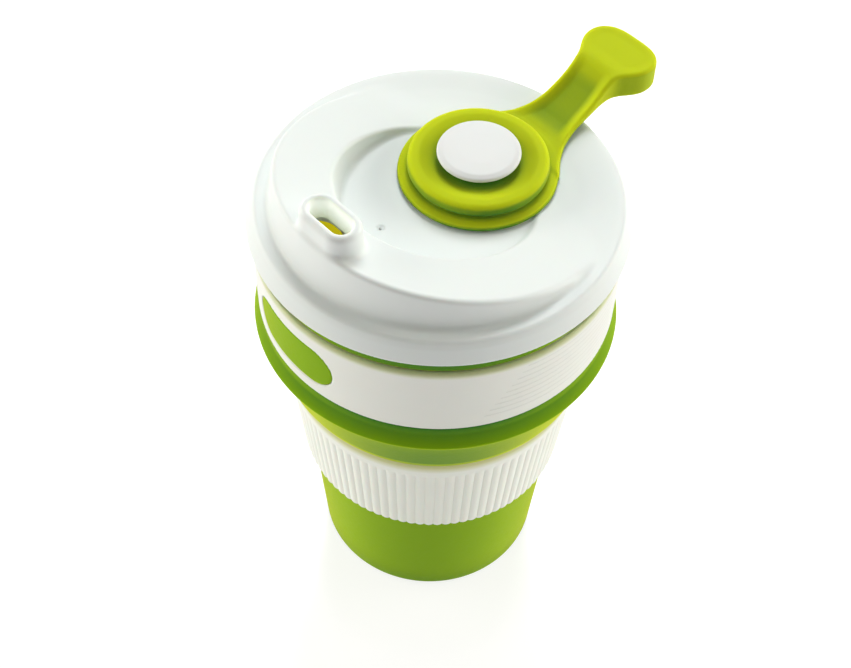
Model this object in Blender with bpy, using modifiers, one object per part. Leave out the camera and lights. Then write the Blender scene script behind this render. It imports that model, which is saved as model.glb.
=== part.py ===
"""Collapsible travel cup with a drinking lid and a swivelling silicone stopper.

Frame: origin at the centre of the base's underside, +Z up along the cup's
axis, -Y towards the lid's drinking spout. Lengths below are millimetres and
are turned into metres by MM.
"""
import bpy
import bmesh
import math
from mathutils import Matrix, Vector

MM = 0.001
SEG = 64                 # sides of a turned piece
GAP = 0.35               # running and assembly clearance

# ---- cup heights and radii -------------------------------------------------
BASE_R = 30.5            # silicone foot, outside
BASE_FLOOR = 2.6         # thickness of the cup's floor
SLEEVE_Z0, SLEEVE_Z1 = 41.0, 75.6
SLEEVE_R0, SLEEVE_R1 = 35.7, 38.9      # over the ribs
SLEEVE_RIBS = 94
SLEEVE_RIB_H = 0.40
SLEEVE_MARGIN = 6.2        # plain edge above the ribs
BAND_Z0, BAND_Z1 = 76.4, 92.0          # fold wall, lower and upper end
RIDGE_R, RIDGE_Z = 46.0, 94.0
COLLAR_Z0, COLLAR_Z1 = 99.6, 120.9
COLLAR_R, COLLAR_T = 44.7, 2.0
RIM_TOP = 129.3

# ---- grip windows in the collar -------------------------------------------
WINDOW_AZ = -94.5        # centre of the front window, degrees
WINDOW_W, WINDOW_H = 28.3, 12.6
WINDOW_Z = 109.6
PAD_R = 44.45            # the pads end just under the collar's surface

# ---- lid --------------------------------------------------------------------
LID_Z = 125.8            # lower edge of the lid's skirt
LID_R = 46.0
LID_WALL = 1.8
FLOOR_H = 4.9            # pocket floor above the skirt's lower edge
PLATEAU_R0, PLATEAU_R1 = 40.1, 38.6    # at 5.9 and at 18.0
PLATEAU_H = 8.4          # height of the sloping top on the axis
PLATEAU_SLOPE = 0.2425   # rise per unit towards the spout
POCKET_R, POCKET_DRAFT = 23.3, 0.20
SPOUT_Y = -32.9
SPOUT_TOP = 23.0
SPOUT_L, SPOUT_W = 16.4, 9.5
HOLE_L, HOLE_W = 12.7, 5.8
VENT = (-2.3, -16.6, 0.75)

# ---- stopper and its rivet -------------------------------------------------
PIVOT_Y = 12.4
FLANGE_R = 19.3
DISC_R = 17.0
ARM_END = 40.3           # arm to cap joint, measured from the pivot
CAP_C = 48.2             # cap centre, measured from the pivot
CAP_TOP, CAP_LOW = 15.8, 8.6          # above the skirt's lower edge

scene = bpy.context.scene
for old in list(scene.objects):
    bpy.data.objects.remove(old, do_unlink=True)

parts = bpy.data.collections.new("collapsible_travel_cup")
cutters = bpy.data.collections.new("cutters")
scene.collection.children.link(parts)
scene.collection.children.link(cutters)


def material(name, colour, rough, metal=0.0):
    mat = bpy.data.materials.new(name)
    mat.use_nodes = True
    bsdf = mat.node_tree.nodes["Principled BSDF"]
    bsdf.inputs["Base Color"].default_value = (*colour, 1.0)
    bsdf.inputs["Roughness"].default_value = rough
    bsdf.inputs["Metallic"].default_value = metal
    return mat


GREEN = (0.33, 0.50, 0.02)
WHITE = (0.86, 0.88, 0.88)
IVORY = (0.80, 0.80, 0.75)


def link(obj, mat=None, cutter=False):
    (cutters if cutter else parts).objects.link(obj)
    if cutter:
        obj.hide_render = True
        obj.display_type = 'WIRE'
    if mat is not None:
        obj.data.materials.append(mat)
    return obj


def smooth(obj, angle=35.0):
    obj.data.shade_smooth()
    obj.data.set_sharp_from_angle(angle=math.radians(angle))


def turned(name, profile, mat=None, cutter=False, steps=SEG, closed=True,
           at=(0.0, 0.0, 0.0)):
    """Turn a profile of (radius, height) about Z: outer side from top to
    bottom, then back up the inside when the profile is closed."""
    mesh = bpy.data.meshes.new(name)
    verts = [(r * MM, 0.0, z * MM) for r, z in profile]
    n = len(verts)
    edges = [(i, i + 1) for i in range(n - 1)]
    if closed:
        edges.append((n - 1, 0))
    mesh.from_pydata(verts, edges, [])
    obj = bpy.data.objects.new(name, mesh)
    obj.location = [c * MM for c in at]
    link(obj, None, cutter)
    screw = obj.modifiers.new("turn", 'SCREW')
    screw.axis = 'Z'
    screw.angle = math.tau
    screw.steps = steps
    screw.render_steps = steps
    screw.use_merge_vertices = True
    screw.merge_threshold = 0.00001
    screw.use_smooth_shade = True
    if mat is not None:
        mesh.materials.append(mat)
    return obj


def from_bmesh(name, bm, mat=None, cutter=False):
    bmesh.ops.recalc_face_normals(bm, faces=bm.faces)
    mesh = bpy.data.meshes.new(name)
    bm.to_mesh(mesh)
    bm.free()
    return link(bpy.data.objects.new(name, mesh), mat, cutter)


def stadium(length, width, arc=8):
    """Outline of a slot: length along X, width along Y."""
    r = width / 2.0
    half = length / 2.0 - r
    pts = []
    for side in (1, -1):
        for k in range(arc + 1):
            a = -math.pi / 2 + math.pi * k / arc
            pts.append((side * (half + r * math.cos(a)), side * r * math.sin(a)))
    return pts


def prism(name, outline, z0, z1, mat=None, cutter=False):
    """Straight prism on an outline in the XY plane."""
    bm = bmesh.new()
    face = bm.faces.new([bm.verts.new((x * MM, y * MM, z0 * MM)) for x, y in outline])
    up = bmesh.ops.extrude_face_region(bm, geom=[face])
    verts = [v for v in up["geom"] if isinstance(v, bmesh.types.BMVert)]
    bmesh.ops.translate(bm, verts=verts, vec=(0, 0, (z1 - z0) * MM))
    return from_bmesh(name, bm, mat, cutter)


def loft(name, rings, mat=None, cutter=False):
    """Skin a run of rings that have the same number of points."""
    bm = bmesh.new()
    rows = [[bm.verts.new([c * MM for c in p]) for p in ring] for ring in rings]
    n = len(rows[0])
    for a, b in zip(rows, rows[1:]):
        for k in range(n):
            bm.faces.new((a[k], a[(k + 1) % n], b[(k + 1) % n], b[k]))
    bm.faces.new(rows[0][::-1])
    bm.faces.new(rows[-1])
    return from_bmesh(name, bm, mat, cutter)


def boolean(obj, other, how):
    mod = obj.modifiers.new(how.lower() + "_" + other.name, 'BOOLEAN')
    mod.operation = how
    mod.object = other
    mod.solver = 'EXACT'
    return mod


def lerp(a, b, t):
    return a + (b - a) * t


green = material("green_silicone", GREEN, 0.48)
white = material("white_plastic", WHITE, 0.22)
ivory = material("ivory_plastic", IVORY, 0.35)
clear = material("seal_silicone", (0.75, 0.80, 0.72), 0.4)

# ============================ cup ===========================================
# Lower tier: floor, visible green foot and the wall that the sleeve grips.
turned("cup_base", [
    (0.0, BASE_FLOOR), (27.6, BASE_FLOOR), (28.6, 3.6), (31.6, 40.6),
    (34.3, BAND_Z0 - 0.75), (34.5, BAND_Z0 - GAP), (38.6, BAND_Z0 - GAP),
    (38.6, SLEEVE_Z1 + 0.3), (36.3, SLEEVE_Z1 + 0.3), (33.4, SLEEVE_Z0 - 0.3),
    (33.6, SLEEVE_Z0 - 0.3), (31.2, 8.0), (30.6, 1.0), (29.9, 0.0),
    (0.0, 0.0)], green, closed=False)

# Ribbed heat sleeve round the lower tier: the ribs run down its outside.
def sleeve():
    bm = bmesh.new()
    n = SLEEVE_RIBS * 2

    def radius(below_top):
        return lerp(SLEEVE_R1, SLEEVE_R0, below_top / (SLEEVE_Z1 - SLEEVE_Z0))

    levels = [  # (height, rib radius, is the rib full here)
        (SLEEVE_Z1, SLEEVE_R1, 0.0), (SLEEVE_Z1 - SLEEVE_MARGIN, radius(SLEEVE_MARGIN), 0.0),
        (SLEEVE_Z1 - SLEEVE_MARGIN - 1.0, radius(SLEEVE_MARGIN + 1.0), 1.0),
        (SLEEVE_Z0, SLEEVE_R0, 1.0)]
    inner = [(SLEEVE_Z0, 33.8), (SLEEVE_Z1, 36.7)]
    rows = []
    for z, r, rib in levels:
        rows.append([bm.verts.new((
            (r - SLEEVE_RIB_H * rib * (k % 2)) * MM * math.cos(math.tau * k / n),
            (r - SLEEVE_RIB_H * rib * (k % 2)) * MM * math.sin(math.tau * k / n),
            z * MM)) for k in range(n)])
    for z, r in inner:
        rows.append([bm.verts.new((r * MM * math.cos(math.tau * k / n),
                                   r * MM * math.sin(math.tau * k / n), z * MM))
                     for k in range(n)])
    for a, b in zip(rows, rows[1:] + rows[:1]):
        for k in range(n):
            bm.faces.new((a[k], a[(k + 1) % n], b[(k + 1) % n], b[k]))
    return from_bmesh("ribbed_sleeve", bm, ivory)


sleeve()

# Fold wall between the tiers, the part that turns inside out.
turned("fold_wall", [
    (44.4, BAND_Z1), (39.5, BAND_Z0), (37.9, BAND_Z0), (42.8, BAND_Z1)], green)

# Upper tier: ridge, wall behind the collar and the rolled rim.
upper = turned("cup_upper", [
    (42.2, RIM_TOP), (43.2, RIM_TOP - 0.5), (43.7, RIM_TOP - 1.6), (43.7, COLLAR_Z1 + GAP),
    (42.3, COLLAR_Z1 + GAP), (42.3, COLLAR_Z0 - GAP), (44.2, COLLAR_Z0 - GAP),
    (45.5, 96.2), (RIDGE_R, RIDGE_Z + 0.4), (45.8, RIDGE_Z - 0.6), (44.8, BAND_Z1 + GAP),
    (42.9, BAND_Z1 + GAP), (42.9, 94.6), (40.5, 98.6),
    (40.6, RIM_TOP - 0.9), (41.2, RIM_TOP)], green)


def window(name, az, grow, r0, r1, cutter=True):
    """A slot-shaped bar that points outwards along the azimuth az."""
    outline = stadium(WINDOW_W + 2 * grow, WINDOW_H + 2 * grow, 10)
    obj = prism(name, outline, r0, r1, cutter=cutter)
    a = math.radians(az)
    out = Vector((math.cos(a), math.sin(a), 0.0))
    side = Vector((-math.sin(a), math.cos(a), 0.0))
    rot = Matrix((side, Vector((0, 0, 1)), out)).transposed().to_4x4()
    obj.matrix_world = Matrix.Translation((0, 0, WINDOW_Z * MM)) @ rot
    return obj


collar = turned("grip_collar", [
    (COLLAR_R - 0.8, COLLAR_Z1), (COLLAR_R, COLLAR_Z1 - 0.8), (COLLAR_R - 0.1, COLLAR_Z0 + 0.4),
    (COLLAR_R - 0.5, COLLAR_Z0), (COLLAR_R - COLLAR_T, COLLAR_Z0),
    (COLLAR_R - COLLAR_T, COLLAR_Z1)], ivory)
for tag, az in (("front", WINDOW_AZ), ("back", WINDOW_AZ + 180.0)):
    boolean(collar, window("window_" + tag, az, 0.0, 36.0, 52.0), 'DIFFERENCE')
    # the silicone bulges into the window and ends just under its surface
    pad = turned("pad_" + tag, [(PAD_R, WINDOW_Z + 9), (PAD_R, WINDOW_Z - 9),
                                (41.6, WINDOW_Z - 9), (41.6, WINDOW_Z + 9)], cutter=True)
    boolean(pad, window("pad_outline_" + tag, az, -GAP, 30.0, 60.0), 'INTERSECT')
    boolean(upper, pad, 'UNION')

# ============================ lid ===========================================
def lz(z):
    return LID_Z + z


lid = turned("lid_shell", [
    (0.0, lz(FLOOR_H)), (37.2, lz(FLOOR_H)), (38.4, lz(5.8)), (41.6, lz(6.0)),
    (43.0, lz(6.2)), (43.9, lz(5.6)), (LID_R, lz(0.0)), (44.5, lz(0.0)),
    (44.1, lz(3.6)), (43.6, lz(4.1)), (40.4, lz(4.1)), (40.1, lz(3.6)),
    (39.9, lz(-2.2)), (39.1, lz(-2.2)), (39.1, lz(-4.6)), (39.9, lz(-4.6)),
    (39.5, lz(-7.0)), (38.3, lz(-7.0)), (37.9, lz(3.1)), (0.0, lz(3.1))],
    white, closed=False)


def sky(name, lower_by):
    """Everything above the sloping top, less a wall thickness."""
    bm = bmesh.new()
    bmesh.ops.create_cube(bm, size=1.0)
    bmesh.ops.scale(bm, verts=bm.verts, vec=(0.140, 0.140, 0.060))
    bmesh.ops.translate(bm, verts=bm.verts, vec=(0, 0, 0.030))
    obj = from_bmesh(name, bm, cutter=True)
    obj.rotation_euler = (-math.atan(PLATEAU_SLOPE), 0, 0)
    obj.location = (0, 0, lz(PLATEAU_H - lower_by) * MM)
    return obj


def drafted(name, z0, z1, r_at_0, slope, turn=0.5, cutter=True):
    """Solid round block whose radius is r_at_0 + slope * height above the skirt,
    turned by part of a side so that its corners fall between the lid's own."""
    obj = turned(name, [(0.0, lz(z1)), (r_at_0 + slope * z1, lz(z1)),
                        (r_at_0 + slope * z0, lz(z0)), (0.0, lz(z0))],
                 cutter=cutter, closed=False)
    obj.rotation_euler = (0, 0, turn * math.tau / SEG)
    return obj


k_out = (PLATEAU_R1 - PLATEAU_R0) / (18.0 - 5.9)
plateau = drafted("plateau", 4.0, 26.0, PLATEAU_R0 - 5.9 * k_out, k_out)
boolean(plateau, sky("sky_outer", 0.0), 'DIFFERENCE')
boolean(plateau, drafted("pocket", 2.0, 30.0, POCKET_R - FLOOR_H * POCKET_DRAFT, POCKET_DRAFT, 0.25), 'DIFFERENCE')
boolean(lid, plateau, 'UNION')

spout = prism("spout_block", [(x, y + SPOUT_Y) for x, y in stadium(SPOUT_L, SPOUT_W)],
              lz(14.5), lz(SPOUT_TOP), cutter=True)
bev = spout.modifiers.new("rim", 'BEVEL')
bev.width = 0.6 * MM
bev.segments = 2
boolean(lid, spout, 'UNION')

hollow = drafted("hollow", 2.5, 26.0, 37.75 - 2.5 * k_out, k_out)
boolean(hollow, sky("sky_inner", LID_WALL * 1.03), 'DIFFERENCE')
boolean(hollow, drafted("pocket_jacket", 2.0, 30.0,
                        POCKET_R + LID_WALL - FLOOR_H * POCKET_DRAFT, POCKET_DRAFT, 0.25), 'DIFFERENCE')
boolean(lid, hollow, 'DIFFERENCE')
boolean(lid, prism("spout_hole", [(x, y + SPOUT_Y) for x, y in stadium(HOLE_L, HOLE_W)],
                   lz(0.0), lz(30.0), cutter=True), 'DIFFERENCE')


def drill(name, x, y, r, z0, z1, sides=16):
    return turned(name, [(0.0, z1), (r, z1), (r, z0), (0.0, z0)], cutter=True,
                  steps=sides, closed=False, at=(x, y, 0.0))


boolean(lid, drill("vent_drill", VENT[0], VENT[1], VENT[2], lz(0.0), lz(9.0), 12), 'DIFFERENCE')
boolean(lid, drill("rivet_drill", 0.0, PIVOT_Y, 3.2, lz(0.0), lz(9.0), 32), 'DIFFERENCE')

# Soft seal ring in the groove of the lid's plug wall.
turned("lid_seal", [
    (40.0, lz(-2.6)), (40.25, lz(-3.4)), (40.0, lz(-4.2)), (39.45, lz(-4.25)),
    (39.45, lz(-2.55))], clear)

# ============================ stopper =======================================
PIVOT = (0.0, PIVOT_Y, 0.0)
turned("stopper_ring", [
    (15.4, lz(10.6)), (16.4, lz(10.3)), (DISC_R, lz(9.4)), (DISC_R, lz(8.2)), (16.3, lz(7.2)),
    (17.6, lz(6.9)), (18.8, lz(6.3)), (FLANGE_R, lz(5.6)), (19.0, lz(FLOOR_H + GAP)),
    (4.6, lz(FLOOR_H + GAP)), (4.6, lz(9.3)), (9.0, lz(9.4))], green, at=PIVOT)

turned("rivet_button", [
    (0.0, lz(13.4)), (5.5, lz(13.2)), (9.2, lz(12.8)), (10.0, lz(12.3)), (9.8, lz(11.8)),
    (6.2, lz(11.6)), (6.2, lz(9.8)), (4.2, lz(9.8)), (4.2, lz(FLOOR_H + GAP)),
    (2.8, lz(FLOOR_H + GAP)), (2.8, lz(1.4)), (3.5, lz(1.1)), (3.2, lz(0.3)),
    (0.0, lz(0.3))], white, closed=False, steps=48, at=PIVOT)

turned("rivet_clip", [
    (6.0, lz(2.75)), (6.0, lz(1.75)), (3.1, lz(1.75)), (3.1, lz(2.75))],
    white, steps=32, at=PIVOT)


def arm_section(s, top, thick, half, crown=0.0):
    """Rounded bar section across the arm at the distance s from the pivot."""
    c = min(0.9, thick * 0.3)
    pts = [(-half + c, 0.0), (0.0, crown), (half - c, 0.0), (half, -c), (half, -thick + c),
           (half - c, -thick), (0.0, -thick), (-half + c, -thick), (-half, -thick + c), (-half, -c)]
    return [(x, PIVOT_Y + s, lz(top + dz)) for x, dz in pts]


# distance from the pivot, top height, thickness, half width
ARM = [(14.5, 7.2, 1.7, 12.4), (17.0, 7.2, 1.7, 10.9), (19.2, 7.2, 1.6, 9.6),
       (21.5, 7.4, 1.6, 8.1), (25.0, 8.0, 1.7, 7.0), (28.6, 8.9, 2.4, 6.5),
       (32.0, 10.4, 3.2, 6.3), (35.0, 12.2, 3.9, 6.1), (38.0, 14.5, 5.4, 6.1),
       (ARM_END, 15.7, 6.5, 6.2)]
arm = loft("stopper_arm", [arm_section(*st, -0.25) for st in ARM], green)
boolean(arm, drill("ring_clear", 0.0, PIVOT_Y, FLANGE_R + GAP, lz(0.0), lz(14.0), 96), 'DIFFERENCE')

# Cap at the arm's end: it covers the spout, with a plug for the spout's hole.
CAP_OUTLINE = [(ARM_END + 0.3, 6.3), (42.4, 7.7), (44.0, 9.0), (46.0, 9.95), (48.5, 10.2),
               (50.5, 9.8), (52.2, 8.6), (53.5, 6.8), (54.3, 4.3), (54.6, 1.5)]


def cap_outline():
    right = [(x, PIVOT_Y + s) for s, x in CAP_OUTLINE]
    return right + [(-x, y) for x, y in reversed(right)]


cap = prism("stopper_cap", cap_outline(), lz(CAP_LOW), lz(CAP_TOP), green)
bev = cap.modifiers.new("soft_edge", 'BEVEL')
bev.width = 0.7 * MM
bev.segments = 1
bev.limit_method = 'ANGLE'
bev.angle_limit = math.radians(50)
socket = prism("cap_socket", [(x, y + PIVOT_Y + CAP_C) for x, y in stadium(17.2, 10.2)],
               lz(CAP_LOW - 3.0), lz(CAP_LOW + 3.6), cutter=True)
plug = prism("cap_plug", [(x, y + PIVOT_Y + CAP_C) for x, y in stadium(12.0, 5.1)],
             lz(CAP_LOW + 0.5), lz(CAP_LOW + 3.8), cutter=True)
boolean(cap, socket, 'DIFFERENCE')
boolean(cap, plug, 'UNION')

for obj in parts.objects:
    if obj.data.polygons:
        smooth(obj)
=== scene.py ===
import math
import bpy
import numpy as np
from mathutils import Matrix, Vector


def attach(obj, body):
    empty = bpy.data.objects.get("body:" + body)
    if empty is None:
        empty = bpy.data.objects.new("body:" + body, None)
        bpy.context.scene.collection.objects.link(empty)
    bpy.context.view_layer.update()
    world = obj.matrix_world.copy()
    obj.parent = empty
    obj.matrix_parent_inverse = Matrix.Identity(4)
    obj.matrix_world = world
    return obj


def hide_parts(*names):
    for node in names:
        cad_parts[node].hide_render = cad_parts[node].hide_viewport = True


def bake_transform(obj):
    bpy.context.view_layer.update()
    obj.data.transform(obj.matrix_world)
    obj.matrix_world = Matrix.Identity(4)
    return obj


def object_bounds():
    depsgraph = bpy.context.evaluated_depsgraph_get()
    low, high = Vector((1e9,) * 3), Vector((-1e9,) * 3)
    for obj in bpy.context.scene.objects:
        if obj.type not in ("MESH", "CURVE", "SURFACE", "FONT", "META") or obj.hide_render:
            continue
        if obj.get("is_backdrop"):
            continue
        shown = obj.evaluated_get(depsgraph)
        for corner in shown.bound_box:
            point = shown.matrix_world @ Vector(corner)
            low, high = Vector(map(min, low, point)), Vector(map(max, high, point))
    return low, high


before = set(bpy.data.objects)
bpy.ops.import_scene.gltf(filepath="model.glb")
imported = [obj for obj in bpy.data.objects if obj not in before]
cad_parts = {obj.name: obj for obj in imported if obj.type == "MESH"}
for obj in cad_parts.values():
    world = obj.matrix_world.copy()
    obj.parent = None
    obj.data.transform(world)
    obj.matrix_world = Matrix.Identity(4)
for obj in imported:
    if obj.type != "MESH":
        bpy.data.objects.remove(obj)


def note_bounds(label, store):
    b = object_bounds()
    out = []
    for row in b:
        try:
            out.append([float(c) for c in row])
        except TypeError:
            out.append(float(row))
    store[label] = out


SIZES = {}
note_bounds("after_load", SIZES)
MM = 0.001
LID_Z = 125.8
PIVOT_Y = 12.4

# ---------------------------------------------------------------- mesh tools


def fillet(points, closed=True, n=7):
    """Round the corners of a polygon. A point is (a, b) or (a, b, radius)."""
    out = []
    m = len(points)
    for i, p in enumerate(points):
        rad = p[2] if len(p) > 2 else 0.0
        if rad <= 0 or (not closed and i in (0, m - 1)):
            out.append((p[0], p[1]))
            continue
        a = np.array(points[i - 1][:2], float)
        b = np.array(p[:2], float)
        c = np.array(points[(i + 1) % m][:2], float)
        u, v = a - b, c - b
        lu, lv = np.linalg.norm(u), np.linalg.norm(v)
        u, v = u / lu, v / lv
        half = math.acos(max(-1.0, min(1.0, float(u @ v)))) / 2
        if half < 1e-3 or half > math.pi / 2 - 1e-3:
            out.append((p[0], p[1]))
            continue
        cut = min(rad / math.tan(half), 0.48 * lu, 0.48 * lv)
        rad = cut * math.tan(half)
        cen = b + (u + v) / np.linalg.norm(u + v) * (rad / math.sin(half))
        p0, p1 = b + u * cut, b + v * cut
        a0 = math.atan2(*(p0 - cen)[::-1])
        a1 = math.atan2(*(p1 - cen)[::-1])
        d = (a1 - a0 + math.pi) % math.tau - math.pi
        for k in range(n + 1):
            t = a0 + d * k / n
            out.append((cen[0] + rad * math.cos(t), cen[1] + rad * math.sin(t)))
    return out


def mesh_object(name, verts, faces, normals=None):
    me = bpy.data.meshes.new(name)
    verts = np.asarray(verts, np.float32)
    faces = np.asarray(faces, np.int32)
    nv, nf, k = len(verts), len(faces), faces.shape[1]
    me.vertices.add(nv)
    me.vertices.foreach_set("co", verts.ravel())
    me.loops.add(nf * k)
    me.loops.foreach_set("vertex_index", faces.ravel())
    me.polygons.add(nf)
    me.polygons.foreach_set("loop_start", np.arange(0, nf * k, k, dtype=np.int32))
    me.update(calc_edges=True)
    me.validate()
    me.shade_smooth()
    if normals is not None:
        me.normals_split_custom_set_from_vertices([tuple(q) for q in normals])
    ob = bpy.data.objects.new(name, me)
    bpy.context.scene.collection.objects.link(ob)
    return ob


def revolve(name, profile, seg=192, closed=True, at=(0.0, 0.0), sharp=40.0, fine=None):
    """Turn a filleted outline (radius, height) in millimetres about Z."""
    pts = profile
    if fine:
        dense = []
        m = len(pts)
        for i in range(m if closed else m - 1):
            p, q = np.array(pts[i]), np.array(pts[(i + 1) % m])
            steps = max(1, int(np.linalg.norm(q - p) / fine))
            for s in range(steps):
                dense.append(tuple(p + (q - p) * s / steps))
        if not closed:
            dense.append(tuple(pts[-1]))
        pts = dense
    n = len(pts)
    az = np.arange(seg) * math.tau / seg
    P = np.array(pts, float)
    V = np.zeros((n, seg, 3))
    V[:, :, 0] = P[:, 0:1] * np.cos(az) + at[0]
    V[:, :, 1] = P[:, 0:1] * np.sin(az) + at[1]
    V[:, :, 2] = P[:, 1:2]
    idx = np.arange(n * seg).reshape(n, seg)
    nxt = np.roll(idx, -1, axis=1)
    rows = range(n) if closed else range(n - 1)
    faces = []
    for i in rows:
        j = (i + 1) % n
        faces.append(np.stack([idx[i], idx[j], nxt[j], nxt[i]], -1))
    ob = mesh_object(name, V.reshape(-1, 3) * MM, np.concatenate(faces))
    bm_clean(ob, sharp)
    return ob


def bm_clean(ob, sharp=40.0):
    import bmesh
    bm = bmesh.new()
    bm.from_mesh(ob.data)
    bmesh.ops.remove_doubles(bm, verts=bm.verts, dist=2e-6)
    bmesh.ops.recalc_face_normals(bm, faces=bm.faces)
    bm.to_mesh(ob.data)
    bm.free()
    ob.data.shade_smooth()
    ob.data.set_sharp_from_angle(angle=math.radians(sharp))


class Table2D:
    """Signed distance to a polygon, looked up from a fine grid."""

    def __init__(self, poly, lo, hi, h):
        P = np.array(poly, float)
        Q = np.roll(P, -1, axis=0)
        nx = int((hi[0] - lo[0]) / h) + 2
        ny = int((hi[1] - lo[1]) / h) + 2
        X, Y = np.meshgrid(lo[0] + np.arange(nx) * h, lo[1] + np.arange(ny) * h, indexing="ij")
        best = np.full(X.shape, 1e9)
        inside = np.zeros(X.shape, bool)
        for (x0, y0), (x1, y1) in zip(P, Q):
            ex, ey = x1 - x0, y1 - y0
            L = ex * ex + ey * ey
            if L < 1e-12:
                continue
            t = np.clip(((X - x0) * ex + (Y - y0) * ey) / L, 0, 1)
            best = np.minimum(best, (X - x0 - t * ex) ** 2 + (Y - y0 - t * ey) ** 2)
            if abs(ey) > 1e-12:
                cross = ((y0 > Y) != (y1 > Y)) & (X < x0 + (Y - y0) / ey * ex)
                inside ^= cross
        self.d = (np.sqrt(best) * np.where(inside, -1, 1)).astype(np.float32)
        self.lo, self.h = lo, h

    def __call__(self, a, b):
        u = np.clip((a - self.lo[0]) / self.h, 0, self.d.shape[0] - 1.001)
        v = np.clip((b - self.lo[1]) / self.h, 0, self.d.shape[1] - 1.001)
        i, j = u.astype(np.int32), v.astype(np.int32)
        u, v = u - i, v - j
        d = self.d
        return (d[i, j] * (1 - u) + d[i + 1, j] * u) * (1 - v) + (
            d[i, j + 1] * (1 - u) + d[i + 1, j + 1] * u) * v


def smin(a, b, k):
    h = np.maximum(k - np.abs(a - b), 0) / k
    return np.minimum(a, b) - h * h * k * 0.25


def smax(a, b, k):
    return -smin(-a, -b, k)


def nets(name, f, lo, hi, h):
    """Smooth closed mesh on f(x, y, z) = 0, negative inside. Millimetres."""
    n = [int(math.ceil((hi[i] - lo[i]) / h)) + 1 for i in range(3)]
    ax = [(lo[i] + np.arange(n[i]) * h).astype(np.float32) for i in range(3)]
    val = np.empty(n, np.float32)
    for k0 in range(0, n[0], 24):
        X, Y, Z = np.meshgrid(ax[0][k0:k0 + 24], ax[1], ax[2], indexing="ij")
        val[k0:k0 + 24] = f(X, Y, Z)
    neg = val < 0
    c = [m - 1 for m in n]
    count = np.zeros(c, np.int8)
    for dx in (0, 1):
        for dy in (0, 1):
            for dz in (0, 1):
                count += neg[dx:dx + c[0], dy:dy + c[1], dz:dz + c[2]]
    ci = np.argwhere((count > 0) & (count < 8))
    ident = np.full(c, -1, np.int32)
    ident[ci[:, 0], ci[:, 1], ci[:, 2]] = np.arange(len(ci))
    acc = np.zeros((len(ci), 3))
    num = np.zeros(len(ci))
    for axis in range(3):
        o = [i for i in range(3) if i != axis]
        for a in (0, 1):
            for b in (0, 1):
                p = ci.copy()
                p[:, o[0]] += a
                p[:, o[1]] += b
                q = p.copy()
                q[:, axis] += 1
                va = val[p[:, 0], p[:, 1], p[:, 2]]
                vb = val[q[:, 0], q[:, 1], q[:, 2]]
                m = (va < 0) != (vb < 0)
                t = va[m] / (va[m] - vb[m])
                pos = p[m].astype(float)
                pos[:, axis] += t
                acc[m] += pos
                num[m] += 1
    P = acc / num[:, None] * h + np.array(lo)
    quads = []
    for axis in range(3):
        o = [(axis + 1) % 3, (axis + 2) % 3]
        sl0 = [slice(None)] * 3
        sl1 = [slice(None)] * 3
        sl0[axis] = slice(0, n[axis] - 1)
        sl1[axis] = slice(1, n[axis])
        s0, s1 = neg[tuple(sl0)], neg[tuple(sl1)]
        e = np.argwhere(s0 != s1)
        ok = (e[:, o[0]] > 0) & (e[:, o[1]] > 0) & (e[:, o[0]] < c[o[0]]) & (e[:, o[1]] < c[o[1]])
        e = e[ok]
        inward = s0[e[:, 0], e[:, 1], e[:, 2]]
        ids = []
        for a, b in ((1, 1), (0, 1), (0, 0), (1, 0)):
            g = e.copy()
            g[:, o[0]] -= a
            g[:, o[1]] -= b
            ids.append(ident[g[:, 0], g[:, 1], g[:, 2]])
        q = np.stack(ids, -1)
        q[~inward] = q[~inward][:, ::-1]
        quads.append(q)
    faces = np.concatenate(quads)

    def grad(Q):
        e = 0.03
        g = np.empty_like(Q)
        for i in range(3):
            d = np.zeros(3)
            d[i] = e
            A, B = Q + d, Q - d
            g[:, i] = (f(A[:, 0], A[:, 1], A[:, 2]) - f(B[:, 0], B[:, 1], B[:, 2])) / (2 * e)
        return g

    for _ in range(3):
        g = grad(P)
        d = f(P[:, 0], P[:, 1], P[:, 2])
        step = (d / np.maximum((g * g).sum(1), 0.05))[:, None] * g
        length = np.linalg.norm(step, axis=1, keepdims=True)
        step *= np.minimum(1.0, 0.45 * h / np.maximum(length, 1e-9))
        P = P - step
    g = grad(P)
    N = g / np.maximum(np.linalg.norm(g, axis=1, keepdims=True), 1e-9)
    return mesh_object(name, P * MM, faces, N)


def slot_sdf(x, y, length, width):
    half = (length - width) / 2.0
    return np.hypot(np.maximum(np.abs(x) - half, 0), y) - width / 2.0


# ---------------------------------------------------------------- the lid
H_LID = 0.42
lid_profile = fillet([
    (-60.0, 4.9), (28.0, 4.9, 40.0), (33.0, 5.03, 40.0), (37.0, 5.33, 30.0), (40.0, 5.68, 30.0), (42.0, 5.92, 8.0),
    (43.75, 6.0, 1.7),
    (44.6, 4.2, 4.0), (46.0, 0.1, 0.35), (44.6, 0.05, 0.3), (43.9, 3.7, 0.6), (42.0, 4.15, 0.5),
    (40.35, 4.15, 0.4), (40.05, 1.0), (39.9, -2.2, 0.15), (39.1, -2.2, 0.15), (39.1, -4.6, 0.15),
    (39.9, -4.6, 0.15), (39.5, -7.0, 0.4), (38.3, -7.0, 0.4), (37.9, 3.1, 0.6), (-60.0, 3.1)])
LID_T = Table2D(lid_profile, (-2.0, -9.0), (49.0, 9.0), 0.06)
SLOPE = 0.2425
COS = 1 / math.hypot(1, SLOPE)


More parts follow.
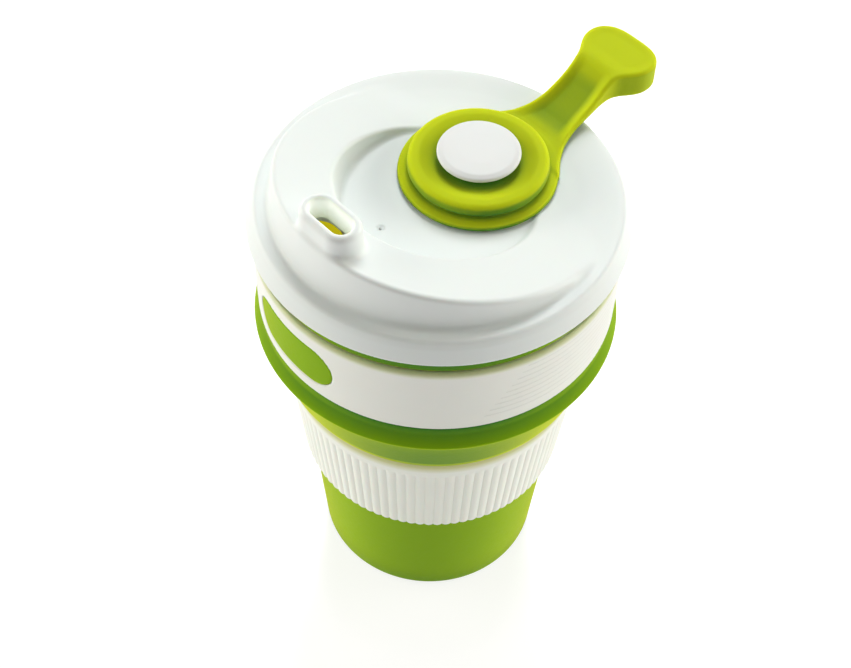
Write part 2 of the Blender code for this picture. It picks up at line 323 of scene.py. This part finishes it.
def lid_f(x, y, z):
    r = np.hypot(x, y)
    base = LID_T(r, z)
    base = np.where(z > 9.0, np.maximum(base, z - 6.0), base)
    wall = (r - (40.1 - 0.124 * (z - 5.9))) * 0.992
    top = (z - (8.4 - SLOPE * y)) * COS
    body = smax(wall, top, 1.5)
    body = np.maximum(body, 4.0 - z)
    pocket = (r - (23.3 + 0.2 * (z - 4.9))) * 0.98
    body = smax(body, -pocket, 1.0)
    d = smin(base, body, 1.5)
    plan = slot_sdf(x, y + 32.9, 16.3, 9.4) + 0.05 * (z - 23.0)
    spout = smax(plan, z - 23.0, 2.0)
    spout = np.maximum(spout, 14.0 - z)
    d = smin(d, spout, 1.3)
    hollow = np.maximum((r - (37.9 - 0.124 * (z - 2.5))), (z - (6.45 - SLOPE * y)) * COS)
    hollow = np.maximum(hollow, -(r - (25.1 + 0.2 * (z - 4.9))) * 0.98)
    hollow = np.maximum(hollow, 2.4 - z)
    d = smax(d, -hollow, 0.4)
    hole = slot_sdf(x, y + 32.9, 11.9, 5.0) - 0.03 * (z - 23.0)
    d = smax(d, -hole, 1.5)
    well = np.maximum(slot_sdf(x, y + 32.9, 14.6, 7.7), np.abs(z - 14.0) - 2.7)
    d = smax(d, -well, 0.3)
    vent = np.hypot(x + 2.3, y + 16.6)
    d = smax(d, -(np.hypot(np.maximum(vent - 0.3, 0), (z - 4.9) * 1.8) - 0.6), 0.3)
    d = smax(d, -(vent - 0.28), 0.15)
    d = smax(d, -(np.hypot(x, y - PIVOT_Y) - 3.2), 0.2)
    return d


def placed(ob, z=LID_Z, x=0.0, y=0.0):
    ob.data.transform(Matrix.Translation((x * MM, y * MM, z * MM)))
    return ob


lid = placed(nets("drinking_lid", lid_f, (-47.0, -47.0, -8.0), (47.0, 47.0, 24.2), H_LID))

seal = revolve("lid_seal_ring", fillet([
    (40.0, -2.6, 0.2), (40.25, -3.4, 0.3), (40.0, -4.2, 0.2), (39.3, -4.3, 0.1), (39.3, -2.5, 0.1)]), 128)
placed(seal)

# ---------------------------------------------------------------- stopper
ring_profile = fillet([
    (4.5, 9.35, 0.2), (9.5, 9.55, 3.0), (14.2, 10.85, 3.0), (16.75, 10.75, 1.7), (17.0, 8.3, 0.6),
    (15.9, 7.25, 0.28), (17.6, 7.0, 0.4), (19.0, 6.55, 0.6), (19.3, 5.75, 0.35),
    (19.0, 5.25, 0.3), (4.5, 5.2, 0.2)])
RING_T = Table2D(ring_profile, (0.0, 2.0), (24.0, 13.0), 0.05)
# plan of the arm and its paddle: (distance from the pivot, half width)
half_plan = [(12.4, 14.75), (14.6, 12.9), (17.0, 11.05), (19.2, 9.55), (21.5, 8.3), (25.0, 7.15),
             (28.6, 6.6), (32.0, 6.4), (36.0, 6.2), (39.0, 6.4), (41.0, 7.1), (43.0, 8.4),
             (45.0, 9.55), (47.0, 10.15), (49.3, 10.1), (51.0, 9.5), (52.4, 8.4), (53.5, 6.9),
             (54.2, 4.9), (54.5, 2.3)]


def smooth_curve(pts, per=6):
    """Catmull-Rom curve through the points."""
    P = [np.array(p, float) for p in pts]
    P = [2 * P[0] - P[1]] + P + [2 * P[-1] - P[-2]]
    out = []
    for i in range(1, len(P) - 2):
        for s in range(per):
            t = s / per
            out.append(tuple(0.5 * ((2 * P[i]) + (P[i + 1] - P[i - 1]) * t
                                    + (2 * P[i - 1] - 5 * P[i] + 4 * P[i + 1] - P[i + 2]) * t * t
                                    + (3 * P[i] - P[i - 1] - 3 * P[i + 1] + P[i + 2]) * t ** 3)))
    out.append(tuple(P[-2]))
    return out


right = [(w, s) for s, w in smooth_curve(half_plan)]
plan_poly = right + [(-w, s) for w, s in reversed(right)]
PLAN_T = Table2D(plan_poly, (-17.0, 8.0), (17.0, 58.0), 0.06)
TOP = smooth_curve([(12.0, 7.0), (19.0, 7.05), (21.5, 7.35), (25.0, 7.95), (28.6, 8.95), (32.0, 10.4),
                    (35.0, 12.25), (37.6, 14.2), (39.4, 15.35), (41.2, 15.75), (44.0, 15.8), (49.0, 15.8),
                    (58.0, 15.7)])
LOW = smooth_curve([(12.0, 5.3), (19.0, 5.3), (21.5, 5.4), (24.0, 5.55), (26.0, 6.2), (28.6, 6.6), (32.0, 7.4),
                    (35.0, 8.1), (37.6, 8.5), (39.4, 8.6), (41.2, 8.6), (44.0, 8.6), (58.0, 8.6)])
TOPS, TOPZ = np.array(TOP).T
LOWS, LOWZ = np.array(LOW).T
SG = np.linspace(8.0, 58.0, 1001)
TOPG, LOWG = np.interp(SG, TOPS, TOPZ), np.interp(SG, LOWS, LOWZ)
TOPC = 1 / np.hypot(1, np.gradient(TOPG, SG))


def ramp01(t):
    t = np.clip(t, 0, 1)
    return t * t * (3 - 2 * t)


def stopper_f(x, y, z):
    s = y - PIVOT_Y
    r = np.hypot(x, s)
    ring = RING_T(r, z)
    ring = np.where(r > 22.5, np.maximum(ring, r - 20.0), ring)
    plan = PLAN_T(x, s)
    plan = np.where((s < 8.5) | (s > 57.0) | (np.abs(x) > 16.8), np.maximum(plan, 2.0), plan)
    zt = np.interp(s, SG, TOPG)
    zb = np.interp(s, SG, LOWG)
    cs = np.interp(s, SG, TOPC)
    depth = 1.3 * ramp01((s - 17.0) / 9.0) * ramp01((41.5 - s) / 7.0) + 0.22 * ramp01((s - 41.0) / 4.0)
    dish = np.clip((-plan - 0.3) / 3.2, 0, 1)
    zt = zt - depth * dish * dish * (3 - 2 * dish)
    arm = smax(plan, (z - zt) * cs, 1.2)
    arm = smax(arm, (zb - z) * cs, 1.1)
    arm = smax(arm, -(r - 15.0), 0.4)
    d = smin(ring, arm, 1.0)
    cup = slot_sdf(x, s - 48.2, 17.0, 10.0)
    cup = np.maximum(cup, z - 12.2)
    d = smax(d, -cup, 0.5)
    plug = np.maximum(slot_sdf(x, s - 48.2, 11.9, 5.0), np.abs(z - 10.7) - 1.6)
    return smin(d, plug, 0.5)


H_ST = 0.34
stopper = nets("silicone_stopper", stopper_f, (-20.2, -7.8, 3.8), (20.2, 68.0, 16.6), H_ST)


def shade_points(ob):
    """Mark the thin channel along the arm's top, which is painted a deeper green as painted shade, and weaken the
    painted light by direction along the arm.
    """
    co = np.empty(len(ob.data.vertices) * 3, np.float32)
    ob.data.vertices.foreach_get("co", co)
    co = co.reshape(-1, 3).astype(float) / MM
    s = co[:, 1] - PIVOT_Y
    plan = np.where(s > 12.5, PLAN_T(co[:, 0], s), 2.0)
    top = np.interp(s, SG, TOPG) - co[:, 2] < 1.9
    # painted shade: how much the channel along the arm's top is darkened
    painted_shade = ramp01((s - 18.0) / 7.0) * ramp01((40.0 - s) / 5.0) * ramp01((-plan - 0.9) / 3.0) * top
    # weight of the painted light by direction, lower along the arm
    side = 1.0 - 0.75 * ramp01((s - 19.0) / 6.0) * ramp01((42.0 - s) / 5.0)
    for name, val in (("painted_shade", painted_shade), ("side", side)):
        at = ob.data.attributes.new(name, "FLOAT", "POINT")
        at.data.foreach_set("value", val.astype(np.float32))


shade_points(stopper)
placed(stopper)

button = revolve("rivet_button_cap", fillet([
    (0.0, 13.42), (5.0, 13.34, 4.0), (8.6, 13.1, 2.5), (9.8, 12.7, 0.8), (10.05, 12.1, 0.35),
    (9.75, 11.75, 0.2), (6.2, 11.6, 0.1), (6.2, 9.85, 0.2), (4.15, 9.8, 0.1), (4.15, 5.3, 0.1), (2.8, 5.25, 0.1),
    (2.8, 1.4), (3.4, 1.1, 0.2), (3.15, 0.35, 0.2), (0.0, 0.3)], closed=False), 160, closed=False, sharp=50)
placed(button, y=PIVOT_Y)
clip = revolve("rivet_retaining_clip", fillet([
    (6.0, 2.75, 0.2), (6.0, 1.75, 0.2), (3.1, 1.75, 0.1), (3.1, 2.75, 0.1)]), 96)
placed(clip, y=PIVOT_Y)

# ---------------------------------------------------------------- collar
H_COL = 0.45
COLLAR_T = Table2D(fillet([(44.7, 120.9, 1.1), (44.6, 99.6, 0.6), (42.65, 99.6, 0.4), (42.7, 120.9, 0.4)]),
                   (40.0, 97.0), (47.0, 125.0), 0.05)
WINDOWS = (math.radians(-94.5), math.radians(85.5))


def window_uv(x, y, z, az):
    side = -math.sin(az) * x + math.cos(az) * y
    out = math.cos(az) * x + math.sin(az) * y
    return side, z - 109.6, out


def collar_f(x, y, z):
    d = COLLAR_T(np.hypot(x, y), z)
    r = np.hypot(x, y)
    d = np.where(r < 40.2, np.maximum(d, 40.5 - r + 1.0), d)
    for az in WINDOWS:
        u, v, out = window_uv(x, y, z, az)
        w = np.maximum(slot_sdf(u, v, 28.3, 12.6), 30.0 - out)
        d = smax(d, -w, 0.35)
    return d


collar = nets("grip_collar_band", collar_f, (-45.6, -45.6, 98.8), (45.6, 45.6, 121.9), H_COL)


def pad(name, az0):
    """Silicone pad that fills a grip window, bent to the collar's curve."""
    L, W, R = 28.15, 12.45, 44.6
    nu, nv = 97, 33
    half = L / 2
    us = -half * np.cos(np.linspace(0.0, math.pi, nu))
    us[0], us[-1] = -half + 0.004, half - 0.004
    hs = np.where(np.abs(us) > half - W / 2,
                  np.sqrt(np.maximum((W / 2) ** 2 - (np.abs(us) - (half - W / 2)) ** 2, 1e-4)), W / 2)
    ts = -np.cos(np.linspace(0.0, math.pi, nv))
    U = np.repeat(us[:, None], nv, 1)
    V = hs[:, None] * ts[None, :]
    d = -slot_sdf(U, V, L, W)
    rr = R - 0.25 * np.maximum(0, 1 - d / 0.5) ** 2
    rows = []
    for rad in (rr, np.full_like(rr, 42.6)):
        x = U
        out = np.sqrt(np.maximum(rad ** 2 - x ** 2, 0))
        X = out * math.cos(az0) - x * math.sin(az0)
        Y = out * math.sin(az0) + x * math.cos(az0)
        rows.append(np.stack([X, Y, V + 109.6], -1))
    verts = np.concatenate([q.reshape(-1, 3) for q in rows])
    idx = np.arange(nu * nv).reshape(nu, nv)
    a, b, c_, d_ = idx[:-1, :-1], idx[1:, :-1], idx[1:, 1:], idx[:-1, 1:]
    front = np.stack([a, b, c_, d_], -1).reshape(-1, 4)
    back = front[:, ::-1] + nu * nv
    ring = np.concatenate([idx[:, 0], idx[-1, 1:], idx[::-1, -1][1:], idx[0, ::-1][1:-1]])
    nx = np.roll(ring, -1)
    side = np.stack([ring, ring + nu * nv, nx + nu * nv, nx], -1)
    ob = mesh_object(name, verts * MM, np.concatenate([front, back, side]))
    bm_clean(ob, 50)
    return ob


pads = [pad("grip_pad_front", WINDOWS[0]), pad("grip_pad_back", WINDOWS[1])]

# ---------------------------------------------------------------- cup body
base = revolve("cup_base_silicone", fillet([
    (0.0, 2.6), (27.4, 2.6, 1.2), (28.5, 4.0, 1.2), (31.55, 40.6, 3.0), (34.4, 75.4, 2.0), (34.6, 76.2, 0.3),
    (38.9, 76.2, 0.25), (38.9, 75.75, 0.2), (36.2, 75.75, 0.2), (33.45, 40.9, 0.2), (33.6, 40.75, 0.2),
    (32.2, 22.0, 30.0), (30.65, 1.2, 1.0), (29.7, 0.0, 0.6), (0.0, 0.0)], closed=False), 224, closed=False,
    fine=2.5)

fold = revolve("folding_wall", fillet([
    (44.75, 92.35), (43.4, 88.0, 8.0), (40.4, 78.4, 5.0), (39.45, 76.2), (38.0, 76.2), (42.9, 92.35)]),
    224, fine=0.8)

upper = revolve("cup_upper_silicone", fillet([
    (42.1, 129.3, 0.8), (43.7, 128.9, 1.2), (43.7, 121.25, 0.4), (42.25, 121.25, 0.1), (42.25, 99.2, 0.2),
    (43.9, 98.9, 0.5), (44.25, 96.9, 3.0), (45.5, 94.5, 2.0), (46.0, 93.5, 0.5), (45.8, 92.9, 0.4), (44.95, 92.35),
    (42.9, 92.35), (42.6, 95.0, 1.0), (40.5, 98.6, 1.5), (40.6, 129.0, 0.5)]), 224, fine=2.5)


def sleeve():
    ribs, per = 94, 12
    n = ribs * per
    az = np.arange(n) * math.tau / n
    wave = np.abs(np.sin(az * ribs / 2)) ** 0.8          # 0 in the groove, 1 on the rib
    z0, z1, r0, r1 = 41.0, 75.6, 35.7, 38.9
    slope = (r1 - r0) / (z1 - z0)
    rows = []
    zs = [z1, z1 - 0.25, z1 - 0.6, z1 - 1.1, z1 - 2.2, z1 - 4.0, z1 - 5.6, z1 - 6.0, z1 - 6.4, z1 - 6.8, z1 - 7.3] + \
        list(np.linspace(z1 - 8.0, z0 + 1.6, 13)) + \
         [z0 + 1.0, z0 + 0.55, z0 + 0.25, z0]
    for z in zs:
        top, low = z1 - z, z - z0
        rib = min(1.0, max(0.0, (top - 5.6) / 1.5))
        rib = rib * rib * (3 - 2 * rib)
        edge = 0.6 * max(0.0, 1 - top / 1.1) ** 2 + 0.45 * max(0.0, 1 - low / 1.0) ** 2
        r = r0 + slope * (z - z0) - edge - 0.30 * rib * (1 - wave)
        if low < 1.0:
            zz = z + 0.30 * (1 - wave) * (1 - low)
        else:
            zz = np.full(n, z)
        rows.append(np.stack([r * np.cos(az), r * np.sin(az), zz * np.ones(n)], -1))
    for z, r in ((z0 + 0.1, 33.9), (z0 + 1.5, 33.95), (z1 - 1.0, 36.65), (z1, 36.8)):
        rows.append(np.stack([r * np.cos(az), r * np.sin(az), np.full(n, z)], -1))
    V = np.stack(rows)
    m = len(rows)
    idx = np.arange(m * n).reshape(m, n)
    nxt = np.roll(idx, -1, axis=1)
    faces = [np.stack([idx[i], idx[(i + 1) % m], nxt[(i + 1) % m], nxt[i]], -1) for i in range(m)]
    ob = mesh_object("ribbed_heat_sleeve", V.reshape(-1, 3) * MM, np.concatenate(faces))
    bm_clean(ob, 50)
    return ob


rib_sleeve = sleeve()

# ---------------------------------------------------------------- materials


class Nodes:
    def __init__(self, name):
        self.mat = bpy.data.materials.new(name)
        self.mat.use_nodes = True
        self.t = self.mat.node_tree
        self.bsdf = self.t.nodes["Principled BSDF"]
        self.co = self.t.nodes.new("ShaderNodeTexCoord")

    def noise(self, scale, detail=4.0, rough=0.5, vec=None):
        n = self.t.nodes.new("ShaderNodeTexNoise")
        n.inputs["Scale"].default_value = scale
        n.inputs["Detail"].default_value = detail
        n.inputs["Roughness"].default_value = rough
        self.t.links.new(vec or self.co.outputs["Object"], n.inputs["Vector"])
        return n.outputs["Fac"]

    def ramp(self, fac, stops):
        n = self.t.nodes.new("ShaderNodeValToRGB")
        el = n.color_ramp.elements
        while len(el) < len(stops):
            el.new(0.5)
        for e, (p, c) in zip(el, stops):
            e.position = p
            e.color = (*c, 1.0)
        self.t.links.new(fac, n.inputs["Fac"])
        return n.outputs["Color"]

    def remap(self, fac, a, b, lo=0.0, hi=1.0):
        n = self.t.nodes.new("ShaderNodeMapRange")
        n.inputs["From Min"].default_value = lo
        n.inputs["From Max"].default_value = hi
        n.inputs["To Min"].default_value = a
        n.inputs["To Max"].default_value = b
        self.t.links.new(fac, n.inputs["Value"])
        return n.outputs["Result"]

    def math(self, op, a, b=None):
        n = self.t.nodes.new("ShaderNodeMath")
        n.operation = op
        for i, v in enumerate((a, b)):
            if v is None:
                continue
            if isinstance(v, (int, float)):
                n.inputs[i].default_value = v
            else:
                self.t.links.new(v, n.inputs[i])
        return n.outputs[0]

    # ambient occlusion, used to paint shade into a base colour
    def occlusion_shade(self, distance):
        n = self.t.nodes.new("ShaderNodeAmbientOcclusion")
        n.samples = 8
        n.inputs["Distance"].default_value = distance
        return n.outputs["AO"]

    def mark(self, name):
        n = self.t.nodes.new("ShaderNodeAttribute")
        n.attribute_name = name
        return n.outputs["Fac"]

    def xyz(self):
        n = self.t.nodes.new("ShaderNodeSeparateXYZ")
        self.t.links.new(self.co.outputs["Object"], n.inputs[0])
        return n.outputs

    def bump(self, height, strength, distance):
        n = self.t.nodes.new("ShaderNodeBump")
        n.inputs["Strength"].default_value = strength
        n.inputs["Distance"].default_value = distance
        self.t.links.new(height, n.inputs["Height"])
        self.t.links.new(n.outputs["Normal"], self.bsdf.inputs["Normal"])

    def tint(self, z0, z1, colour):
        """Paint a green reflection into the base colour between two heights, at an edge beside the green silicone."""
        was = self.bsdf.inputs["Base Color"].links[0].from_socket
        n = self.t.nodes.new("ShaderNodeMix")
        n.data_type = "RGBA"
        col = [i for i in n.inputs if i.type == "RGBA"]
        col[1].default_value = (*colour, 1.0)
        self.t.links.new(was, col[0])
        self.t.links.new(self.remap(self.xyz()[2], 0.0, 0.85, z0, z1), n.inputs[0])
        out = [o for o in n.outputs if o.type == "RGBA"][0]
        self.t.links.new(out, self.bsdf.inputs["Base Color"])

    def plug(self, out, name):
        self.t.links.new(out, self.bsdf.inputs[name])

    def set(self, **kw):
        for k, v in kw.items():
            self.bsdf.inputs[k.replace("_", " ")].default_value = v


def silicone(name, colour=(0.185, 0.355, 0.008), painted_shade=(0.040, 0.19, 0.028), tint=(0.9, 0.85, 0.02),
             shade_heights=None, upright_shade=0.0, marked_shade=0.0, glow=0.0,
             around=(0.30, 0.62)):
    """Satin silicone with painted shade: ambient occlusion paints its folds, creases and gaps a deeper green.
    shade_heights is a list of (metres, shade) that paints shade with height, less at the silhouettes, and
    marked_shade paints shade where the mesh marks it; upright_shade paints light and shade by facing direction."""
    m = Nodes(name)
    c = np.array(colour)
    vary = m.remap(m.noise(38.0, 3.0), -0.04, 0.04, 0.3, 0.7)
    # painted shade: ambient occlusion darkens the base colour in folds, creases and gaps
    shade = m.math("ADD", m.occlusion_shade(0.012), vary)
    # painted light and shade by direction: faces turned up or sideways are painted lighter than faces turned down,
    # less so along the arm where the mesh's weight is lower
    if upright_shade:
        g = m.t.nodes.new("ShaderNodeNewGeometry")
        sp = m.t.nodes.new("ShaderNodeSeparateXYZ")
        m.t.links.new(g.outputs["Normal"], sp.inputs[0])
        steep = m.remap(sp.outputs[2], -upright_shade, 0.0, 0.1, 0.8)
        shade = m.math("ADD", shade, m.math("MULTIPLY", steep, m.mark("side")))
    # painted shade: the channel along the arm's top is darkened where the mesh marks it
    if marked_shade:
        shade = m.math("SUBTRACT", shade, m.math("MULTIPLY", m.mark("painted_shade"), marked_shade))
    # painted shade by height, faded out towards the silhouettes so that the sides come out painted lighter
    if shade_heights:
        lo, hi = shade_heights[0][0], shade_heights[-1][0]
        t = m.remap(m.xyz()[2], 0.0, 1.0, lo, hi)
        grey = m.ramp(t, [((q - lo) / (hi - lo), (v, v, v)) for q, v in shade_heights])
        one = m.t.nodes.new("ShaderNodeRGBToBW")
        m.t.links.new(grey, one.inputs[0])
        lw = m.t.nodes.new("ShaderNodeLayerWeight")
        front = m.remap(lw.outputs["Facing"], 1.0, 0.1, *around)
        shade = m.math("SUBTRACT", shade, m.math("MULTIPLY", one.outputs[0], front))
    # the ramp runs from the painted shade green to the lit colour
    mid = (np.array(painted_shade) + c) / 2
    m.plug(m.ramp(shade, [(0.20, painted_shade), (0.50, tuple(mid)), (0.80, tuple(c * 0.97)), (1.0, tuple(c * 1.03))]),
           "Base Color")
    fine = m.noise(900.0, 5.0, 0.6)
    m.plug(m.remap(fine, 0.44, 0.56, 0.3, 0.7), "Roughness")
    m.set(Subsurface_Weight=0.6, Subsurface_Scale=0.003, Specular_IOR_Level=0.03, Sheen_Weight=0.9,
          Sheen_Roughness=0.3)
    # painted glow: a yellow emission standing in for light that comes through a thin wall
    if glow:
        m.bsdf.inputs["Emission Color"].default_value = (0.75, 0.62, 0.01, 1.0)
        m.set(Emission_Strength=glow)
    m.bsdf.inputs["Subsurface Radius"].default_value = (1.2, 0.9, 0.1)
    m.bsdf.inputs["Sheen Tint"].default_value = (*tint, 1.0)
    m.bsdf.inputs["Specular Tint"].default_value = (0.8, 0.95, 0.25, 1.0)
    m.bump(m.noise(2600.0, 3.0, 0.6), 0.10, 0.00012)
    return m.mat


def white_plastic(name, colour=(0.80, 0.83, 0.83), rough=0.42, spout=False):
    m = Nodes(name)
    c = np.array(colour)
    big = m.noise(30.0, 3.0)
    m.plug(m.ramp(big, [(0.3, tuple(c * 0.995)), (0.7, tuple(np.minimum(c * 1.004, 1)))]), "Base Color")
    fine = m.noise(420.0, 3.0, 0.5)
    m.plug(m.remap(fine, rough - 0.01, rough + 0.01, 0.3, 0.7), "Roughness")
    m.set(Subsurface_Weight=0.06, Subsurface_Scale=0.003, Specular_IOR_Level=0.30)
    m.bump(m.noise(700.0, 2.0, 0.5), 0.012, 0.00005)
    if spout:      # painted glow inside the spout's mouth, standing in for light that comes through its thin wall
        x, y, z = m.xyz()[0:3]
        dx = m.math("MAXIMUM", m.math("SUBTRACT", m.math("ABSOLUTE", x), 0.00345), 0.0)
        dy = m.math("ADD", y, 0.0329)
        far = m.math("SQRT", m.math("ADD", m.math("MULTIPLY", dx, dx), m.math("MULTIPLY", dy, dy)))
        near = m.remap(far, 1.0, 0.0, 0.0024, 0.0033)
        up = m.remap(z, 0.0, 1.0, 0.1395, 0.1470)
        glow = m.ramp(m.math("MULTIPLY", near, up), [(0.0, (0, 0, 0)), (0.45, (0.40, 0.46, 0.25)), (1.0, (0.80, 0.84, 0.74))])
        m.plug(glow, "Emission Color")
        m.set(Emission_Strength=0.42)
    return m.mat


def collar_plastic(name):
    """Satin ivory with the fine moulded lines on one side of the collar, bumped in and painted darker as painted
    shade in the grooves.
    """
    m = Nodes(name)
    c = np.array((0.80, 0.80, 0.755))
    m.plug(m.remap(m.noise(520.0, 5.0, 0.6), 0.33, 0.45, 0.3, 0.7), "Roughness")
    m.set(Subsurface_Weight=0.10, Subsurface_Scale=0.003, Specular_IOR_Level=0.45)
    x, y, z = m.xyz()[0:3]
    # repeats every 1.9 mm of height between 102 and 119.5 mm
    az = m.math("ARCTAN2", y, x)
    zz = m.math("DIVIDE", m.math("SUBTRACT", z, 0.1026), 0.0019)
    step = m.math("FLOOR", zz)
    tri = m.math("ABSOLUTE", m.math("SUBTRACT", m.math("FRACT", zz), 0.5))
    line = m.math("LESS_THAN", tri, 0.085)
    start = m.math("ADD", m.math("MULTIPLY", step, 0.028), -0.50)
    inside = m.math("MULTIPLY", m.math("GREATER_THAN", az, start), m.math("LESS_THAN", az, 0.42))
    band = m.math("MULTIPLY", m.math("GREATER_THAN", z, 0.1026), m.math("LESS_THAN", z, 0.1190))
    cut = m.math("MULTIPLY", m.math("MULTIPLY", line, inside), band)
    mottle = m.remap(m.noise(34.0, 3.0), 0.55, 1.0, 0.3, 0.7)
    # painted shade in the moulded grooves
    shade = m.math("SUBTRACT", mottle, m.math("MULTIPLY", cut, 0.5))
    m.plug(m.ramp(shade, [(0.0, tuple(c * 0.86)), (0.5, tuple(c * 0.975)), (1.0, tuple(c * 1.015))]), "Base Color")
    grain = m.math("MULTIPLY", m.noise(900.0, 3.0), 0.06)
    m.bump(m.math("SUBTRACT", grain, cut), 1.0, 0.00035)
    # painted reflection of the green silicone on the collar's top edge
    m.tint(0.1192, 0.1206, (0.60, 0.64, 0.32))
    return m.mat


def sleeve_plastic(name):
    m = Nodes(name)
    c = np.array((0.83, 0.84, 0.77))
    m.plug(m.ramp(m.noise(45.0, 3.0), [(0.3, tuple(c * 0.98)), (0.7, tuple(c * 1.01))]), "Base Color")
    m.plug(m.remap(m.noise(620.0, 5.0, 0.6), 0.36, 0.48, 0.3, 0.7), "Roughness")
    m.set(Subsurface_Weight=0.12, Subsurface_Scale=0.003, Specular_IOR_Level=0.45)
    m.bump(m.noise(1500.0, 3.0, 0.6), 0.08, 0.0001)
    # painted reflection of the green silicone on the sleeve's top edge
    m.tint(0.0712, 0.0738, (0.52, 0.52, 0.16))
    return m.mat


# every silicone below gets painted shade in its folds and gaps
GREEN = silicone("green_silicone_satin")
# painted shade by height: the ledge under the collar and the strip under the lid are painted a darker green
GREEN_UPPER = silicone("green_silicone_upper", shade_heights=[
    (0.0915, 0.0), (0.0938, 0.05), (0.0950, 0.25), (0.0975, 0.50), (0.0992, 0.72), (0.1010, 0.30), (0.1165, 0.26),
    (0.1205, 0.90), (0.1300, 0.90)])
# painted shade by height: the fold band is painted darker towards its bottom, except at its sides
GREEN_FOLD = silicone("green_silicone_fold", shade_heights=[(0.0762, 1.0), (0.0785, 0.85), (0.0860, 0.76), (0.0912, 0.50), (0.0925, 0.10)],
                      around=(0.72, 0.97))
# painted glow on the fold wall's inner faces
GREEN_INSIDE = silicone("green_silicone_fold_inside", glow=0.6)
# the stopper: painted light and shade by direction, and painted shade in the arm's channel
GREEN_TOP = silicone("green_silicone_stopper", (0.51, 0.59, 0.016), (0.04, 0.20, 0.03), upright_shade=0.34,
                     marked_shade=0.42)
WHITE = white_plastic("white_lid_plastic", spout=True)
BUTTON = white_plastic("white_button_plastic", (0.775, 0.775, 0.785), 0.45)
COLLAR = collar_plastic("ivory_collar_plastic")
SLEEVE = sleeve_plastic("ivory_sleeve_plastic")
SEAL = silicone("clear_seal_silicone", (0.62, 0.66, 0.58), (0.5, 0.55, 0.48), (0.9, 0.9, 0.9))


def dress(ob, mat, body, slot, *nodes):
    ob.data.materials.clear()
    ob.data.materials.append(mat)
    if body:
        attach(ob, body)
    if nodes:
        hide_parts(*nodes)


dress(base, GREEN, "lower_cup", "green_silicone", "cup_base")
dress(rib_sleeve, SLEEVE, "lower_cup", "ivory_plastic", "ribbed_sleeve")
dress(upper, GREEN_UPPER, "upper_cup", "green_silicone", "cup_upper")
for p in pads:
    dress(p, GREEN, "upper_cup", "green_silicone")
dress(collar, COLLAR, "upper_cup", "ivory_plastic", "grip_collar")
dress(lid, WHITE, "lid", "white_plastic", "lid_shell")
dress(seal, SEAL, "lid", "seal_silicone", "lid_seal")
dress(button, BUTTON, "lid", "white_plastic", "rivet_button")
dress(clip, BUTTON, "lid", "white_plastic", "rivet_clip")
dress(fold, GREEN_FOLD, None, "green_silicone", "fold_wall")
fold.data.materials.append(GREEN_INSIDE)      # painted glow on the inner faces, standing in for daylight that comes through this thin bare wall
for f in fold.data.polygons:
    if f.normal.x * f.center.x + f.normal.y * f.center.y < 0:
        f.material_index = 1
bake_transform(fold)
dress(stopper, GREEN_TOP, None, "green_silicone", "stopper_ring", "stopper_arm", "stopper_cap")
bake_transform(stopper)

# ---------------------------------------------------------------- the set
me = bpy.data.meshes.new("floor")
me.from_pydata([(-6, -6, 0), (6, -6, 0), (6, 6, 0), (-6, 6, 0)], [], [(0, 1, 2, 3)])
floor = bpy.data.objects.new("floor", me)
bpy.context.scene.collection.objects.link(floor)
fm = Nodes("pale_floor")
fm.plug(fm.ramp(fm.noise(3.0, 2.0), [(0.3, (0.245, 0.245, 0.245)), (0.7, (0.255, 0.255, 0.255))]), "Base Color")
fm.bsdf.inputs["Emission Color"].default_value = (1.0, 0.992, 0.98, 1.0)
fm.set(Emission_Strength=0.83)
fm.plug(fm.remap(fm.noise(60.0, 3.0), 0.16, 0.20, 0.3, 0.7), "Roughness")
fm.set(Specular_IOR_Level=0.5)
floor.data.materials.append(fm.mat)
floor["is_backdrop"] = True

scene = bpy.context.scene
world = bpy.data.worlds.new("studio")
scene.world = world
world.use_nodes = True
world.node_tree.nodes["Background"].inputs[0].default_value = (1.0, 0.99, 0.90, 1.0)
world.node_tree.nodes["Background"].inputs[1].default_value = 0.26
scene.view_settings.view_transform = "Standard"


def soft_sun(name, az, el, level, spread, colour=(1, 1, 1)):
    """Wide soft light from an azimuth measured from the camera's, in degrees.
    level is what a white surface that faces it gains."""
    d = bpy.data.lights.new(name, "SUN")
    d.energy = level * math.pi
    d.angle = math.radians(spread)
    d.color = colour
    ob = bpy.data.objects.new(name, d)
    scene.collection.objects.link(ob)
    a, e = math.radians(az - 44.0), math.radians(el)
    way = Vector((math.cos(a) * math.cos(e), math.sin(a) * math.cos(e), math.sin(e)))
    ob.rotation_euler = way.to_track_quat("Z", "Y").to_euler()
    return ob


soft_sun("top_back", 176, 50, 0.56, 28, (0.955, 1.0, 1.0))
soft_sun("side_left", -102, 9, 0.90, 50, (1.0, 0.99, 0.90))
soft_sun("side_right", 102, 9, 0.90, 50, (1.0, 0.99, 0.90))

# camera
E, ROLL, DIST, TX, TY = math.radians(52.02), math.radians(1.73), 7.749, 0.070, 0.628
U = 0.046
fwd = Vector((0, math.cos(E), -math.sin(E)))
rt = Vector((1, 0, 0))
up = Vector((0, math.sin(E), math.cos(E)))
r2 = math.cos(ROLL) * rt + math.sin(ROLL) * up
u2 = -math.sin(ROLL) * rt + math.cos(ROLL) * up
pos = -(TX * r2 + TY * u2 + DIST * fwd) * U + Vector((0, 0, LID_Z * MM))
rot = Matrix.Rotation(math.radians(46.0), 4, "Z")
cam_data = bpy.data.cameras.new("camera")
cam_data.sensor_width = 36.0
cam_data.lens = 1500.0 / 851.0 * 36.0
cam_data.clip_start = 0.01
cam = bpy.data.objects.new("camera", cam_data)
scene.collection.objects.link(cam)
basis = Matrix((r2, u2, -fwd)).transposed().to_4x4()
cam.matrix_world = rot @ Matrix.Translation(pos) @ basis
scene.camera = cam

note_bounds("before_finish", SIZES)
